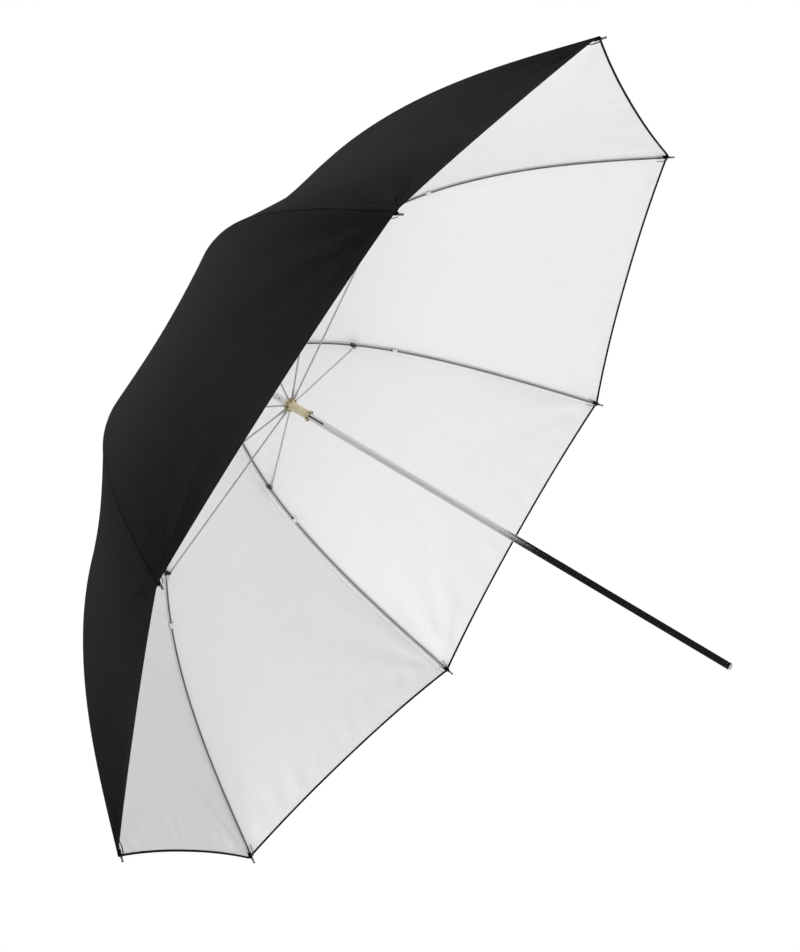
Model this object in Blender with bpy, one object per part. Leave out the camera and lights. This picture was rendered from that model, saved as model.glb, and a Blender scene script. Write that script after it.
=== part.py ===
"""Photographic umbrella reflector: a shaft, eight bent ribs with stretchers, a runner with a spring catch,
and a canopy of eight gores, each gore sewn from a left and a right half.

Metres, +Z up along the shaft towards the canopy. The origin is on the shaft's axis, in the middle of the stretch
that a lamp head's umbrella holder grips.
"""

from math import atan2, cos, pi, radians, sin

import bmesh
import bpy
from mathutils import Matrix, Vector

# ---------------------------------------------------------------- driving dimensions

RIB_COUNT = 8
RIM_RADIUS = 0.525          # shaft axis to a canopy corner
RIM_HEIGHT = 0.270          # plane of the canopy corners above the holder
NOTCH_HEIGHT = RIM_HEIGHT + 0.294
RUNNER_HEIGHT = RIM_HEIGHT + 0.176
SHAFT_BOTTOM = -0.1340
SHAFT_RADIUS = 0.0040
SHAFT_WALL = 0.0006
GAP = 0.0003                # left between pieces that touch

RIB_HINGE_RADIUS = 0.0085   # rib pivots from the shaft's axis
RUNNER_HINGE_RADIUS = 0.0076
RIB_RADIUS = 0.0015
RIB_LENGTH = 0.6221
RIB_START_SLOPE = radians(4.65)
RIB_INNER_LENGTH = 0.264    # notch to stretcher, along the rib
RIB_END_SLOPE = radians(52.0)
PIVOT_DROP = 0.0046         # stretcher pivot below the rib's centre line

STRETCHER_RADIUS = 0.0011
EYE_RADIUS = 0.0022
EYE_HOLE_RADIUS = 0.00115
RIVET_RADIUS = 0.0008
TONGUE_THICKNESS = 0.0015

CLOTH_THICKNESS = 0.0008
CLOTH_OFFSET = 0.0040       # cloth above the rib's centre line
CLOTH_SAG = 0.006           # how far the middle of a gore sinks below the straight line between ribs
RIM_RISE = 0.0075           # how far the rim climbs between two corners
CLOTH_TOP = 0.0060          # the cloth starts this far along the rib

CATCH_AZIMUTH = radians(22.5)
CATCH_ROOT_HEIGHT = RIM_HEIGHT + 0.0765
CATCH_NOSE_HEIGHT = RIM_HEIGHT + 0.1430
STOP_PIN_HEIGHT = RIM_HEIGHT + 0.1890

RIB_STEP = 2 * pi / RIB_COUNT
HALF_STEP = RIB_STEP / 2
MIDDLE_RATIO = sin(HALF_STEP)


# ---------------------------------------------------------------- the rib's bend

def rib_line(samples=240):
    """Points (radius, height, slope) along a rib that is bent like a beam: its bend grows from the notch to the
    stretcher, then fades to nothing at the tip."""
    outer = RIB_LENGTH - RIB_INNER_LENGTH
    peak = (RIB_END_SLOPE - RIB_START_SLOPE) / (RIB_LENGTH / 2)
    radius, height, slope = RIB_HINGE_RADIUS, NOTCH_HEIGHT, RIB_START_SLOPE
    step = RIB_LENGTH / samples
    line = [(radius, height, slope)]
    for n in range(samples):
        middle = (n + 0.5) * step
        bend = middle / RIB_INNER_LENGTH if middle < RIB_INNER_LENGTH else (RIB_LENGTH - middle) / outer
        slope += peak * bend * step
        radius += cos(slope) * step
        height -= sin(slope) * step
        line.append((radius, height, slope))
    return line


RIB_LINE = rib_line()


def rib_at(distance, offset=0.0):
    """The point on the rib's plane this far along the rib, moved outwards from its centre line by offset."""
    place = min(max(distance / RIB_LENGTH, 0.0), 1.0) * (len(RIB_LINE) - 1)
    low = min(int(place), len(RIB_LINE) - 2)
    share = place - low
    radius, height, slope = (a + (b - a) * share for a, b in zip(RIB_LINE[low], RIB_LINE[low + 1]))
    beyond = max(distance - RIB_LENGTH, 0.0)
    radius += beyond * cos(slope) + offset * sin(slope)
    height += -beyond * sin(slope) + offset * cos(slope)
    return Vector((radius, 0.0, height)), slope


NOTCH_PIVOT = Vector((RIB_HINGE_RADIUS, 0.0, NOTCH_HEIGHT))
RUNNER_PIVOT = Vector((RUNNER_HINGE_RADIUS, 0.0, RUNNER_HEIGHT))
CLIP_PIVOT, CLIP_SLOPE = rib_at(RIB_INNER_LENGTH, -PIVOT_DROP)
HUB_POINT = rib_at(CLOTH_TOP, CLOTH_OFFSET)[0]


# ---------------------------------------------------------------- materials and objects

def clear_scene():
    for old in list(bpy.data.objects):
        bpy.data.objects.remove(old)


def material(name, color, roughness, metallic):
    made = bpy.data.materials.new(name)
    made.use_nodes = True
    shader = made.node_tree.nodes["Principled BSDF"]
    shader.inputs["Base Color"].default_value = (*color, 1.0)
    shader.inputs["Roughness"].default_value = roughness
    shader.inputs["Metallic"].default_value = metallic
    return made


def mesh_from(build, name):
    """A mesh whose surface is drawn by build(bm), with its faces pointing out."""
    bm = bmesh.new()
    build(bm)
    bmesh.ops.remove_doubles(bm, verts=bm.verts, dist=1e-6)
    bmesh.ops.recalc_face_normals(bm, faces=bm.faces)
    mesh = bpy.data.meshes.new(name)
    bm.to_mesh(mesh)
    bm.free()
    mesh.shade_smooth()
    mesh.set_sharp_from_angle(angle=radians(35))
    return mesh


def place(name, mesh, look, pivot=(0, 0, 0), azimuth=0.0):
    """Puts a mesh in the scene, turned to azimuth round the shaft. Its origin is the pivot."""
    made = bpy.data.objects.new(name, mesh)
    bpy.context.collection.objects.link(made)
    made.location = Matrix.Rotation(azimuth, 4, "Z") @ Vector(pivot)
    made.rotation_euler = (0, 0, azimuth)
    if not mesh.materials:
        mesh.materials.append(look)
    return made


def shape(build, name="shape"):
    """A loose object for a modifier to use."""
    made = bpy.data.objects.new(name, mesh_from(build, name))
    bpy.context.collection.objects.link(made)
    return made


def combine(target, others, operation):
    """Joins or cuts target with the others, for good, and removes them."""
    for other in others:
        step = target.modifiers.new("step", "BOOLEAN")
        step.operation = operation
        step.solver = "EXACT"
        step.object = other
    bpy.context.view_layer.update()
    solid = bpy.data.meshes.new_from_object(target.evaluated_get(bpy.context.evaluated_depsgraph_get()))
    for used in [target, *others]:
        bpy.data.objects.remove(used)
    solid.shade_smooth()
    solid.set_sharp_from_angle(angle=radians(35))
    return solid


# ---------------------------------------------------------------- basic solids

def turned(bm, profile, steps=24, centre=(0, 0, 0), axis=(0, 0, 1)):
    """A closed outline of (radius, height) points, turned round an axis."""
    turn = Vector((0, 0, 1)).rotation_difference(Vector(axis)).to_matrix()
    rings = []
    for radius, height in profile:
        if radius < 1e-7:
            rings.append([bm.verts.new(turn @ Vector((0, 0, height)) + Vector(centre))])
            continue
        ring = []
        for n in range(steps):
            angle = 2 * pi * n / steps
            point = Vector((radius * cos(angle), radius * sin(angle), height))
            ring.append(bm.verts.new(turn @ point + Vector(centre)))
        rings.append(ring)
    for low, high in zip(rings, rings[1:] + rings[:1]):
        for n in range(steps):
            m = (n + 1) % steps
            corners = [low[n % len(low)], low[m % len(low)], high[m % len(high)], high[n % len(high)]]
            corners = list(dict.fromkeys(corners))
            if len(corners) > 2:
                bm.faces.new(corners)


def rod(bm, line, radius, sides=8):
    """A round rod along a line of points that lies in the XZ plane, with flat ends."""
    rings = []
    for n, point in enumerate(line):
        before, after = line[max(n - 1, 0)], line[min(n + 1, len(line) - 1)]
        along = (after - before).normalized()
        out = Vector((along.z, 0, -along.x))
        ring = []
        for k in range(sides):
            angle = 2 * pi * (k + 0.5) / sides
            ring.append(bm.verts.new(point + radius * (cos(angle) * out + sin(angle) * Vector((0, 1, 0)))))
        rings.append(ring)
    for low, high in zip(rings, rings[1:]):
        for k in range(sides):
            bm.faces.new([low[k], low[(k + 1) % sides], high[(k + 1) % sides], high[k]])
    bm.faces.new(rings[0])
    bm.faces.new(rings[-1])


def plate(bm, outline, thickness, middle=0.0):
    """An outline of (x, z) points in the XZ plane, thickened along Y."""
    near = [bm.verts.new((x, middle - thickness / 2, z)) for x, z in outline]
    far = [bm.verts.new((x, middle + thickness / 2, z)) for x, z in outline]
    bm.faces.new(near)
    bm.faces.new(far)
    for n in range(len(outline)):
        m = (n + 1) % len(outline)
        bm.faces.new([near[n], near[m], far[m], far[n]])


def disc(bm, centre, radius, thickness, sides=12):
    """A round plate with its axis along Y."""
    x, z = centre
    circle = [(x + radius * cos(2 * pi * k / sides), z + radius * sin(2 * pi * k / sides)) for k in range(sides)]
    plate(bm, circle, thickness)


def block(bm, low, high):
    """A box from its lowest to its highest corner."""
    plate(bm, [(low[0], low[2]), (high[0], low[2]), (high[0], high[2]), (low[0], high[2])],
          high[1] - low[1], (high[1] + low[1]) / 2)


def slope_frame(point, slope):
    """The frame at a point of the rib: X along the rib outwards, Z away from the shaft side."""
    return Matrix.Translation(point) @ Matrix.Rotation(slope, 4, "Y")


# ---------------------------------------------------------------- shaft and its fittings

SHAFT_TOP = NOTCH_HEIGHT + 0.0120
SHAFT_SIDES = 24
PLUG_LENGTH = 0.0060        # the part of the end plug that shows
PLUG_DEPTH = 0.0080         # the part inside the shaft
SLOT_BELOW_NOSE = 0.0225
SLOT_ABOVE_NOSE = 0.0060
SLOT_WIDTH = 0.0020
BORE_RADIUS = SHAFT_RADIUS - SHAFT_WALL
CROSS_PIN_RADIUS = 0.0008
CROSS_PIN_HOLE = CROSS_PIN_RADIUS + GAP


def shaft_tube():
    def tube(bm):
        low = SHAFT_BOTTOM + PLUG_LENGTH
        turned(bm, [(BORE_RADIUS, SHAFT_TOP), (SHAFT_RADIUS, SHAFT_TOP), (SHAFT_RADIUS, low), (BORE_RADIUS, low)],
               steps=SHAFT_SIDES)

    def slot(bm):
        block(bm, (0.0015, -SLOT_WIDTH / 2, CATCH_NOSE_HEIGHT - SLOT_BELOW_NOSE),
              (0.0060, SLOT_WIDTH / 2, CATCH_NOSE_HEIGHT + SLOT_ABOVE_NOSE))
        bmesh.ops.rotate(bm, verts=bm.verts, matrix=Matrix.Rotation(CATCH_AZIMUTH, 3, "Z"))

    def cross_hole(height, azimuth):
        def build(bm):
            way = (-sin(azimuth), cos(azimuth), 0)
            turned(bm, [(0, -0.01), (CROSS_PIN_HOLE, -0.01), (CROSS_PIN_HOLE, 0.01), (0, 0.01)], steps=10,
                   centre=(0, 0, height), axis=way)
        return build

    cutters = [shape(slot), shape(cross_hole(CATCH_ROOT_HEIGHT, CATCH_AZIMUTH)),
               shape(cross_hole(STOP_PIN_HEIGHT, CATCH_AZIMUTH + pi / 2))]
    return combine(shape(tube), cutters, "DIFFERENCE")


def cross_pin(height, azimuth, reach):
    """A pin right through the shaft, with shallow domed ends."""
    def build(bm):
        way = (-sin(azimuth), cos(azimuth), 0)
        turned(bm, [(0, -reach), (CROSS_PIN_RADIUS * 0.7, -reach), (CROSS_PIN_RADIUS, 0.0004 - reach),
                    (CROSS_PIN_RADIUS, reach - 0.0004), (CROSS_PIN_RADIUS * 0.7, reach), (0, reach)],
               steps=10, centre=(0, 0, height), axis=way)
    return build


def end_plug(bm):
    """A turned nose that closes the shaft's lower end."""
    end = SHAFT_BOTTOM
    seat = end + PLUG_LENGTH - GAP
    top = end + PLUG_LENGTH + PLUG_DEPTH
    turned(bm, [(0, top), (BORE_RADIUS - GAP, top), (BORE_RADIUS - GAP, seat), (SHAFT_RADIUS, seat),
                (SHAFT_RADIUS, end + 0.0030), (SHAFT_RADIUS * 0.86, end + 0.0010), (SHAFT_RADIUS * 0.60, end),
                (0, end)], steps=SHAFT_SIDES)


HINGE_SLOT_WIDTH = 0.0026
SLOT_FLOOR_RADIUS = 0.0058  # how deep the slots of a collar go
SLOT_END_RADIUS = 0.0200    # past the collar's rim
SLOT_TOP = 0.0060           # past the collar's top


def toothed_ring(profile, height, low, high):
    """A turned collar with a radial slot for each rib or stretcher, from low to high round the given height."""
    cutters = []
    half = HINGE_SLOT_WIDTH / 2
    for n in range(RIB_COUNT):
        def slot(bm, azimuth=n * RIB_STEP):
            block(bm, (SLOT_FLOOR_RADIUS, -half, height + low), (SLOT_END_RADIUS, half, height + high))
            bmesh.ops.rotate(bm, verts=bm.verts, matrix=Matrix.Rotation(azimuth, 3, "Z"))
        cutters.append(shape(slot))
    ring = shape(lambda bm: turned(bm, [(r, height + z) for r, z in profile], steps=32))
    return combine(ring, cutters, "DIFFERENCE")


HUB_BORE = SHAFT_RADIUS + GAP + 0.0001
WIRE_RADIUS = 0.00045


def grooved(inner, outer, hinge, top, bottom):
    """The upper part of a collar's outline, from its bore to its rim, with a groove for the hinge wire."""
    reach = WIRE_RADIUS + GAP
    return [(inner, top), (hinge - reach, top), (hinge - reach, -reach), (hinge + reach, -reach),
            (hinge + reach, top), (outer, top), (outer, bottom)]


def notch_hub():
    outline = grooved(HUB_BORE, 0.0104, RIB_HINGE_RADIUS, 0.0038, -0.0034)
    outline += [(0.0078, -0.0060), (0.0062, -0.0060), (0.0062, -0.0100), (HUB_BORE, -0.0100)]
    return toothed_ring(outline, NOTCH_HEIGHT, -0.0045, SLOT_TOP)


RUNNER_LENGTH = 0.0320
CROWN_TOP = 0.0040


def runner_sleeve():
    flange = CROWN_TOP - 0.0005 - RUNNER_LENGTH
    outline = grooved(HUB_BORE, 0.0090, RUNNER_HINGE_RADIUS, CROWN_TOP, -0.0042)
    outline += [(0.0082, -0.0050), (0.0055, -0.0056), (0.0055, flange + 0.0032), (0.0060, flange + 0.0028),
                (0.0069, flange + 0.0024), (0.0069, flange + 0.0004), (0.0065, flange), (HUB_BORE, flange)]
    return toothed_ring(outline, RUNNER_HEIGHT, -0.0065, SLOT_TOP)


def hinge_wire(radius, height):
    """The ring that strings the hinged ends together."""
    def build(bm):
        circle = [(radius + WIRE_RADIUS * cos(2 * pi * k / 6), height + WIRE_RADIUS * sin(2 * pi * k / 6))
                  for k in range(6)]
        turned(bm, circle, steps=32)
    return build


def top_cap(bm):
    """The cap that clamps the middle of the canopy, with a blind bore for the shaft's end."""
    def at(height):
        return NOTCH_HEIGHT + height
    bore, bore_end = SHAFT_RADIUS + GAP, at(0.0120 + GAP)
    turned(bm, [(bore, at(0.0048)), (bore, bore_end), (0, bore_end), (0, at(0.0170)), (0.0042, at(0.0170)),
                (0.0056, at(0.0156)), (0.0060, at(0.0100)), (0.0100, at(0.0084)), (0.0150, at(0.0066)),
                (0.0160, at(0.0056)), (0.0156, at(0.0048))], steps=24)


def catch_spring(bm):
    """A leaf inside the shaft with a nose that stands out of the slot, below the runner. Its origin is its root."""
    nose, top = CATCH_NOSE_HEIGHT - CATCH_ROOT_HEIGHT, CATCH_NOSE_HEIGHT - CATCH_ROOT_HEIGHT + 0.0040
    outline = [(0.0014, 0.0022), (0.0020, 0.0022), (0.0024, nose - 0.0200), (0.0062, nose - 0.0030),
               (0.0062, nose), (0.0024, nose + 0.0002), (0.0024, top), (0.0016, top), (0.0016, nose - 0.0200)]
    plate(bm, outline, 0.0012)


# ---------------------------------------------------------------- ribs and stretchers

RIB_EYE_THICKNESS = 0.0016
RIB_BAR_START = 0.0050      # along the rib from its hinge
RIB_STOPS = 18
WIRE_PLAY = 0.00042         # between an eye's hole and the wire through it


def rib():
    """A bent rod with a flattened eye round the notch's hinge wire. The origin is the hinge."""
    # the round bar starts where the hub's slot ends, so only the flat neck lies in the slot
    stops = [RIB_BAR_START + (RIB_LENGTH - RIB_BAR_START) * n / RIB_STOPS for n in range(RIB_STOPS + 1)]

    def bar(bm):
        rod(bm, [rib_at(stop)[0] - NOTCH_PIVOT for stop in stops], RIB_RADIUS)

    def eye(bm):
        disc(bm, (0, 0), 0.0020, RIB_EYE_THICKNESS)

    def neck(bm):
        turn = Matrix.Rotation(RIB_START_SLOPE, 3, "Y")
        block(bm, (0.0012, -RIB_EYE_THICKNESS / 2, -0.0014), (0.0060, RIB_EYE_THICKNESS / 2, 0.0014))
        bmesh.ops.rotate(bm, verts=bm.verts, matrix=turn)

    def hole(bm):
        disc(bm, (0, 0), WIRE_RADIUS + WIRE_PLAY, 0.01)

    solid = combine(shape(bar), [shape(neck), shape(eye)], "UNION")
    joined = bpy.data.objects.new("joined", solid)
    bpy.context.collection.objects.link(joined)
    return combine(joined, [shape(hole)], "DIFFERENCE")


def rib_tip(bm):
    """The ball-ended ferrule beyond the rib's end that holds the canopy's corner."""
    start, length = GAP, 0.0095
    point, slope = rib_at(RIB_LENGTH)
    profile = [(0, start), (0.0014, start), (0.0014, 0.0045), (0.0011, 0.0052), (0.0011, 0.0062),
               (0.0017, 0.0070), (0.0020, 0.0080), (0.0017, 0.0090), (0.0008, length), (0, length)]
    turned(bm, profile, steps=8, centre=point - NOTCH_PIVOT, axis=(cos(slope), 0, -sin(slope)))


CLIP_WALL = 0.0005
CLIP_LENGTH = 0.0080


def rib_clip():
    """A folded clip over the rib with the rivet that the stretcher swings on."""
    frame = Matrix.Translation(-NOTCH_PIVOT) @ slope_frame(rib_at(RIB_INNER_LENGTH)[0], CLIP_SLOPE)
    inside = RIB_RADIUS + GAP
    outside = inside + CLIP_WALL
    half = CLIP_LENGTH / 2

    def shell(bm):
        section = [(half, -PIVOT_DROP - 0.0012), (half * 0.6, -PIVOT_DROP - 0.0024),
                   (-half * 0.6, -PIVOT_DROP - 0.0024), (-half, -PIVOT_DROP - 0.0012), (-half, outside),
                   (half, outside)]
        plate(bm, section, 2 * outside)
        bmesh.ops.transform(bm, verts=bm.verts, matrix=frame)

    def channel(bm):
        block(bm, (-0.0100, -inside, -0.0100), (0.0100, inside, inside))
        bmesh.ops.transform(bm, verts=bm.verts, matrix=frame)

    def rivet(bm):
        turned(bm, [(0, -outside - 0.0005), (RIVET_RADIUS, -outside - 0.0005), (RIVET_RADIUS, outside + 0.0005),
                    (0, outside + 0.0005)], steps=10, centre=(0, 0, -PIVOT_DROP), axis=(0, 1, 0))
        bmesh.ops.transform(bm, verts=bm.verts, matrix=frame)

    folded = combine(shape(shell), [shape(channel)], "DIFFERENCE")
    joined = bpy.data.objects.new("joined", folded)
    bpy.context.collection.objects.link(joined)
    return combine(joined, [shape(rivet)], "UNION")


def stretcher():
    """A straight wire from the rivet to the runner, with an eye at the rivet and a flat tongue at the runner.
    The origin is the rivet."""
    run = RUNNER_PIVOT - CLIP_PIVOT
    length = run.length
    turn = Matrix.Rotation(atan2(run.x, run.z) - pi / 2, 3, "Y")
    nose, nose_radius = length - 0.0026, 0.0015

    def aligned(bm):
        bmesh.ops.rotate(bm, verts=bm.verts, matrix=turn)

    def wire(bm):
        rod(bm, [Vector((0.0040, 0, 0)), Vector((length - 0.0060, 0, 0))], STRETCHER_RADIUS)
        aligned(bm)

    def eye(bm):
        disc(bm, (0, 0), EYE_RADIUS, TONGUE_THICKNESS)
        aligned(bm)

    def neck(bm):
        block(bm, (0.0014, -TONGUE_THICKNESS / 2, -0.0012), (0.0060, TONGUE_THICKNESS / 2, 0.0012))
        aligned(bm)

    def tongue(bm):
        angles = [k * pi / 8 - pi / 2 for k in range(9)]
        arc = [(nose + nose_radius * cos(angle), nose_radius * sin(angle)) for angle in angles]
        plate(bm, [(length - 0.0120, -0.0010), *arc, (length - 0.0120, 0.0010)], TONGUE_THICKNESS)
        aligned(bm)

    def hole(bm):
        disc(bm, (0, 0), EYE_HOLE_RADIUS, 0.01)
        aligned(bm)

    solid = combine(shape(wire), [shape(neck), shape(eye), shape(tongue)], "UNION")
    joined = bpy.data.objects.new("joined", solid)
    bpy.context.collection.objects.link(joined)
    return combine(joined, [shape(hole)], "DIFFERENCE")


# ---------------------------------------------------------------- canopy

CLOTH_ROWS = 16
CLOTH_COLUMNS = 3
RISE_POWER = 2.2            # how early the rim climbs next to a corner
SEAM_GAP = GAP / 2 + 0.0001  # half the space between two panels of cloth


def gore_point(down, across, offset):
    """A point on half a gore next to the rib at azimuth 0: down runs from 0 at the middle to 1 at the rim, across
    from 0 at the rib to 1 at the seamless middle of the gore."""
    end = RIB_LENGTH - RIM_RISE * (1 - (1 - across) ** RISE_POWER)
    distance = CLOTH_TOP + (end - CLOTH_TOP) * down
    ridge, slope = rib_at(distance, CLOTH_OFFSET + offset)
    bulge = sin(pi * min(down, 0.999)) ** 0.5
    sag = CLOTH_SAG * sin(pi / 2 * across) * min(1.0, ridge.x / RIM_RADIUS) * bulge
    chord = ridge.x * MIDDLE_RATIO * across
    along_chord = Vector((-sin(HALF_STEP), cos(HALF_STEP), 0))
    out_of_gore = Vector((cos(HALF_STEP) * sin(slope), sin(HALF_STEP) * sin(slope), cos(slope)))
    return ridge + chord * along_chord - sag * out_of_gore


def half_gore(side):
    """One half of a gore as a thin closed sheet. side is 1 towards the next rib and -1 towards the last one."""
    def build(bm):
        def corner(row, column, offset):
            point = gore_point(row / CLOTH_ROWS, column / CLOTH_COLUMNS, offset)
            if column == 0:
                point.y += SEAM_GAP
            if column == CLOTH_COLUMNS:
                point += Vector((sin(HALF_STEP), -cos(HALF_STEP), 0)) * SEAM_GAP
            return bm.verts.new((point.x, side * point.y, point.z))
        layers = [[[corner(row, column, offset) for column in range(CLOTH_COLUMNS + 1)]
                   for row in range(CLOTH_ROWS + 1)]
                  for offset in (CLOTH_THICKNESS / 2, -CLOTH_THICKNESS / 2)]
        for sheet in layers:
            for row in range(CLOTH_ROWS):
                for column in range(CLOTH_COLUMNS):
                    bm.faces.new([sheet[row][column], sheet[row][column + 1], sheet[row + 1][column + 1],
                                  sheet[row + 1][column]])
        top, bottom = layers
        border = [(row, 0) for row in range(CLOTH_ROWS)]
        border += [(CLOTH_ROWS, column) for column in range(CLOTH_COLUMNS)]
        border += [(row, CLOTH_COLUMNS) for row in range(CLOTH_ROWS, 0, -1)]
        border += [(0, column) for column in range(CLOTH_COLUMNS, 0, -1)]
        for (a, b), (c, d) in zip(border, border[1:] + border[:1]):
            bm.faces.new([top[a][b], top[c][d], bottom[c][d], bottom[a][b]])
        bmesh.ops.translate(bm, verts=bm.verts, vec=-HUB_POINT)
    return build


# ---------------------------------------------------------------- assembly

def build():
    clear_scene()
    steel = material("polished_steel", (0.72, 0.72, 0.73), 0.22, 1.0)
    brass = material("champagne_metal", (0.74, 0.66, 0.48), 0.35, 1.0)
    dark_metal = material("dark_metal", (0.06, 0.06, 0.06), 0.4, 0.8)
    rib_steel = material("grey_steel", (0.45, 0.45, 0.46), 0.38, 0.9)
    plastic = material("black_plastic", (0.02, 0.02, 0.02), 0.45, 0.0)
    spring_steel = material("spring_steel", (0.35, 0.35, 0.37), 0.3, 1.0)
    cloth = material("canopy_cloth", (0.03, 0.03, 0.03), 0.8, 0.0)

    place("shaft_tube", shaft_tube(), steel)
    place("shaft_end_plug", mesh_from(end_plug, "shaft_end_plug"), steel)
    place("notch_hub", notch_hub(), brass)
    place("notch_wire", mesh_from(hinge_wire(RIB_HINGE_RADIUS, NOTCH_HEIGHT), "notch_wire"), rib_steel)
    place("top_cap", mesh_from(top_cap, "top_cap"), plastic)
    stop_pin = cross_pin(STOP_PIN_HEIGHT, CATCH_AZIMUTH + pi / 2, SHAFT_RADIUS + 0.0009)
    place("runner_stop_pin", mesh_from(stop_pin, "runner_stop_pin"), rib_steel)
    root_pin = cross_pin(CATCH_ROOT_HEIGHT, CATCH_AZIMUTH, SHAFT_RADIUS + 0.0002)
    place("catch_root_pin", mesh_from(root_pin, "catch_root_pin"), dark_metal)
    place("runner_sleeve", runner_sleeve(), brass)
    runner_ring = hinge_wire(RUNNER_HINGE_RADIUS, RUNNER_HEIGHT)
    place("runner_wire", mesh_from(runner_ring, "runner_wire"), rib_steel)
    place("catch_spring", mesh_from(catch_spring, "catch_spring"), spring_steel, (0, 0, CATCH_ROOT_HEIGHT),
          CATCH_AZIMUTH)

    parts = [("rib", rib(), rib_steel, NOTCH_PIVOT),
             ("rib_tip", mesh_from(rib_tip, "rib_tip"), rib_steel, NOTCH_PIVOT),
             ("rib_clip", rib_clip(), dark_metal, NOTCH_PIVOT),
             ("stretcher", stretcher(), rib_steel, CLIP_PIVOT),
             ("canopy_left", mesh_from(half_gore(1), "canopy_left"), cloth, HUB_POINT),
             ("canopy_right", mesh_from(half_gore(-1), "canopy_right"), cloth, HUB_POINT)]
    for number in range(RIB_COUNT):
        for name, mesh, look, pivot in parts:
            place(f"{name}_{number + 1}", mesh, look, pivot, number * RIB_STEP)


build()
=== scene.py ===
"""Looks for the umbrella reflector: cloth, seams, hems, ribs, wires and turned fittings, and their finishes.

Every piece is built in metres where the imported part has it. Ribs and gores repeat every 45 degrees round Z, so
most pieces are made for the rib at azimuth 0 and then turned.
"""

from math import atan2, cos, pi, radians, sin

import bmesh
import bpy
import numpy as np
from mathutils import Matrix, Vector


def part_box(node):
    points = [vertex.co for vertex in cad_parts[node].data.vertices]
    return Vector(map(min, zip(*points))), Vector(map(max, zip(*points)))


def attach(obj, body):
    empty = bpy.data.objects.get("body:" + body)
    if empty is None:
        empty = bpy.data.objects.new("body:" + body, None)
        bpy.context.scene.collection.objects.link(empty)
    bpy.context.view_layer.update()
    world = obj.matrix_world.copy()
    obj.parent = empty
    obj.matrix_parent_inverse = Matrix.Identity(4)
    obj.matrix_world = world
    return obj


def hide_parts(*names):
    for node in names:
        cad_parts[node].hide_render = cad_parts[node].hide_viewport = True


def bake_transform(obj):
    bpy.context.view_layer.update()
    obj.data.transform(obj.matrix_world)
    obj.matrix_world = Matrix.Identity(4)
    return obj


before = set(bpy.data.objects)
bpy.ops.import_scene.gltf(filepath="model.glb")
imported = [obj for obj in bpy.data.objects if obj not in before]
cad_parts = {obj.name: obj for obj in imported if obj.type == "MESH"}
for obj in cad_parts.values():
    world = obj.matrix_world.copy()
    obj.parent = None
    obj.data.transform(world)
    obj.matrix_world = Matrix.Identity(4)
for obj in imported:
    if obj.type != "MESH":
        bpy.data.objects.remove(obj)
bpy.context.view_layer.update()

# -------- driving dimensions, as the part has them

RIB_COUNT = 8
RIB_STEP = 2 * pi / RIB_COUNT
HALF_STEP = RIB_STEP / 2
RIM_RADIUS = 0.525
NOTCH_HEIGHT = 0.564
RUNNER_HEIGHT = 0.446
SHAFT_RADIUS = 0.0040
RIB_HINGE_RADIUS = 0.0085
RUNNER_HINGE_RADIUS = 0.0076
RIB_RADIUS = 0.0015
RIB_LENGTH = 0.6221
RIB_INNER_LENGTH = 0.264
RIB_START_SLOPE = radians(4.65)
RIB_END_SLOPE = radians(52.0)
PIVOT_DROP = 0.0046
STRETCHER_RADIUS = 0.0011
CLOTH_THICKNESS = 0.0005
CLOTH_OFFSET = 0.0040
CLOTH_TOP = 0.0060
RIM_RISE = 0.0075

# No two ribs of a sewn umbrella bend quite alike. In mm: how far each tip stands up and sideways from the even
# shape, and how far the middle of the gore after each rib sinks below the straight line between its ribs.
TIP_LIFT_MM = (1.5, -13.0, 7.5, 4.5, -1.0, -10.5, 2.0, 2.5)
TIP_SWAY_MM = (1.5, 0.0, 0.5, 10.0, -2.0, -8.0, 1.0, -2.0)
GORE_SAG_MM = (6.0, 14.0, 7.0, 7.0, 7.0, 8.0, 7.0, 8.0)

SHAFT_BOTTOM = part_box("shaft_end_plug")[0][2]


# -------- the rib's bend and the gore's surface

def rib_line(samples=240):
    """Points (radius, height, slope) along a rib bent like a beam: the bend grows from the notch to the
    stretcher, then fades to nothing at the tip."""
    outer = RIB_LENGTH - RIB_INNER_LENGTH
    peak = (RIB_END_SLOPE - RIB_START_SLOPE) / (RIB_LENGTH / 2)
    radius, height, slope = RIB_HINGE_RADIUS, NOTCH_HEIGHT, RIB_START_SLOPE
    step = RIB_LENGTH / samples
    line = [(radius, height, slope)]
    for n in range(samples):
        middle = (n + 0.5) * step
        bend = middle / RIB_INNER_LENGTH if middle < RIB_INNER_LENGTH else (RIB_LENGTH - middle) / outer
        slope += peak * bend * step
        radius += cos(slope) * step
        height -= sin(slope) * step
        line.append((radius, height, slope))
    return np.array(line)


RIB_LINE = rib_line()
RIB_STATIONS = np.linspace(0.0, RIB_LENGTH, len(RIB_LINE))


def rib_places(distance, offset):
    """Radius, height and slope this far along a rib, offset outwards from its centre line. Takes arrays."""
    inside = np.clip(distance, 0.0, RIB_LENGTH)
    radius, height, slope = (np.interp(inside, RIB_STATIONS, RIB_LINE[:, n]) for n in range(3))
    beyond = np.maximum(distance - RIB_LENGTH, 0.0)
    radius = radius + beyond * np.cos(slope) + offset * np.sin(slope)
    height = height - beyond * np.sin(slope) + offset * np.cos(slope)
    return radius, height, slope


def rib_at(distance, offset=0.0):
    radius, height, slope = rib_places(np.array([distance]), offset)
    return Vector((float(radius[0]), 0.0, float(height[0]))), float(slope[0])


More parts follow.
